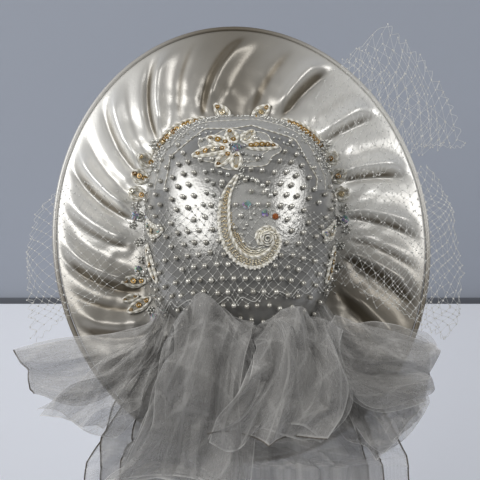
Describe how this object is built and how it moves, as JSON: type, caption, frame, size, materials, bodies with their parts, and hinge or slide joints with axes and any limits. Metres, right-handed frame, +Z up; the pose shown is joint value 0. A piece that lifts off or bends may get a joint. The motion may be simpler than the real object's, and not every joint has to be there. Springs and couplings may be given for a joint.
{
  "type": "bridal hat",
  "caption": "Wide-brimmed satin bridal hat with a deep round crown, swirled gathers, beaded lace motifs, diamond net puffs and tulle that falls behind.",
  "frame": {"origin": "middle of the head opening, in the plane of the brim's inner edge", "axes": "+X to the right and +Z up as the picture shows the hat; the crown points along -Y, its axis raised 30 degrees, and the head goes in from +Y"},
  "size_m": [0.3933, 0.2781, 0.4305],
  "materials": {
    "satin": "ivory satin with a soft sheen",
    "lace": "corded ivory lace with amber and clear sequins",
    "crystal": "cut clear crystal",
    "amber": "polished amber bead",
    "net": "stiff diamond veiling net",
    "tulle": "fine matt tulle"
  },
  "bodies": {
    "root": {"arc_left": "lace", "arc_right": "lace", "bead_amber": "amber", "brim": "satin", "brim_edge": "satin", "crescent_left": "lace", "crescent_right": "lace", "crown": "satin", "crystal_flower": "crystal", "crystal_left": "crystal", "crystal_low_1": "crystal", "crystal_low_2": "crystal", "crystal_paisley": "crystal", "crystal_right": "crystal", "flower_petal_1": "lace", "flower_petal_2": "lace", "flower_petal_3": "lace", "flower_petal_4": "lace", "flower_petal_5": "lace", "flower_petal_6": "lace", "flower_petal_7": "lace", "leaf_left": "lace", "leaf_low_1": "lace", "leaf_low_2": "lace", "leaf_low_3": "lace", "leaf_right": "lace", "loop_left_1": "lace", "loop_left_2": "lace", "loop_left_3": "lace", "loop_right_1": "lace", "loop_right_2": "lace", "loop_right_3": "lace", "net_crown": "net", "net_left": "net", "net_right_lower": "net", "net_right_upper": "net", "paisley": "lace", "petal_top_left": "lace", "petal_top_right": "lace", "stone_ring": "crystal", "tulle_fan_left": "tulle", "tulle_fan_right": "tulle", "tulle_loop_left": "tulle", "tulle_loop_right": "tulle", "tulle_puff_left": "tulle", "tulle_puff_right": "tulle", "veil": "tulle"}
  },
  "joints": []
}
